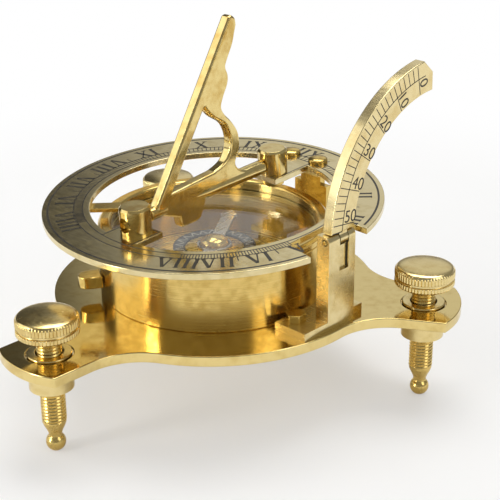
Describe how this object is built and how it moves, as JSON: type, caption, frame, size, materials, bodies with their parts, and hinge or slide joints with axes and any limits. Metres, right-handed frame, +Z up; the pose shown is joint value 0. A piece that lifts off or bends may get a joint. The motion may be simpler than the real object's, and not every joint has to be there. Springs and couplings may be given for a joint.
{
  "type": "sundial compass",
  "caption": "Brass sundial compass: a glazed compass bowl on a levelling base under a hinged hour ring with a folding gnomon and a standing latitude arc.",
  "frame": {"origin": "middle of the base plate's underside, under the compass needle's pivot", "axes": "+Z up, +Y north along the noon line towards the ring hinge, +X east towards the latitude arc"},
  "size_m": [0.1346, 0.1236, 0.1104],
  "materials": {
    "polished_brass": "mirror polished",
    "pale_brass": "brushed and lacquered",
    "golden_brass": "polished, darker",
    "card_enamel": "satin black",
    "cover_glass": "clear"
  },
  "bodies": {
    "base": {"base_plate": "polished_brass", "foot_bush_1": "pale_brass", "foot_bush_2": "pale_brass", "foot_bush_3": "pale_brass", "compass_bowl": "polished_brass", "bezel_ring": "polished_brass", "cover_glass": "cover_glass", "rose_plate": "golden_brass", "pivot_post": "polished_brass", "bowl_screw_1": "polished_brass", "bowl_screw_2": "polished_brass", "bowl_screw_3": "polished_brass", "side_lug": "golden_brass", "ring_hinge_bracket": "polished_brass", "bracket_screw_1": "golden_brass", "bracket_screw_2": "golden_brass", "ring_hinge_pin": "golden_brass", "arc_stem": "pale_brass", "arc_stem_screw_1": "golden_brass", "arc_stem_screw_2": "golden_brass", "arc_hinge_pin": "golden_brass"},
    "ring": {"hour_ring": "pale_brass", "ring_hinge_leaf": "polished_brass", "ring_hinge_screw_1": "golden_brass", "ring_hinge_screw_2": "golden_brass", "rest_strip": "polished_brass", "south_post": "polished_brass", "north_post": "polished_brass", "north_post_nut": "golden_brass", "gnomon_pin_south": "golden_brass", "gnomon_pin_north": "golden_brass"},
    "gnomon": {"gnomon": "polished_brass"},
    "arc": {"latitude_arc": "pale_brass"},
    "needle": {"compass_needle": "pale_brass", "needle_cap": "golden_brass", "card_ring": "card_enamel"},
    "leg_1": {"foot_screw_1": "polished_brass"},
    "knob_1": {"foot_knob_1": "pale_brass"},
    "leg_2": {"foot_screw_2": "polished_brass"},
    "knob_2": {"foot_knob_2": "pale_brass"},
    "leg_3": {"foot_screw_3": "polished_brass"},
    "knob_3": {"foot_knob_3": "pale_brass"}
  },
  "joints": [
    {"name": "ring_tilt", "type": "hinge", "parent": "base", "child": "ring", "pos_m": [0, 0.044, 0.0282], "axis": [-1, 0, 0], "range_deg": [0, 70]},
    {"name": "gnomon_fold", "type": "hinge", "parent": "ring", "child": "gnomon", "pos_m": [0, -0.0003, 0.03335], "axis": [0, -0.9988, -0.0487], "range_deg": [0, 90]},
    {"name": "arc_fold", "type": "hinge", "parent": "base", "child": "arc", "pos_m": [0.04445, 0.004, 0.0291], "axis": [0, 1, 0], "range_deg": [0, 90]},
    {"name": "needle_spin", "type": "hinge", "parent": "base", "child": "needle", "pos_m": [0, 0, 0.0162], "axis": [0, 0, 1], "continuous": true},
    {"name": "leg_1_travel", "type": "slide", "parent": "base", "child": "leg_1", "axis": [0, 0, 1], "range_m": [-0.004, 0.008]},
    {"name": "knob_1_turn", "type": "hinge", "parent": "leg_1", "child": "knob_1", "pos_m": [0, -0.0628, 0.01], "axis": [0, 0, 1], "range_deg": [-1440, 2880]},
    {"name": "leg_2_travel", "type": "slide", "parent": "base", "child": "leg_2", "axis": [0, 0, 1], "range_m": [-0.004, 0.008]},
    {"name": "knob_2_turn", "type": "hinge", "parent": "leg_2", "child": "knob_2", "pos_m": [0.05439, 0.0314, 0.01], "axis": [0, 0, 1], "range_deg": [-1440, 2880]},
    {"name": "leg_3_travel", "type": "slide", "parent": "base", "child": "leg_3", "axis": [0, 0, 1], "range_m": [-0.004, 0.008]},
    {"name": "knob_3_turn", "type": "hinge", "parent": "leg_3", "child": "knob_3", "pos_m": [-0.05439, 0.0314, 0.01], "axis": [0, 0, 1], "range_deg": [-1440, 2880]}
  ],
  "couplings": [
    {"joint": "leg_1_travel", "follows": "knob_1_turn", "m_per_rad": 0.00015915},
    {"joint": "leg_2_travel", "follows": "knob_2_turn", "m_per_rad": 0.00015915},
    {"joint": "leg_3_travel", "follows": "knob_3_turn", "m_per_rad": 0.00015915}
  ]
}
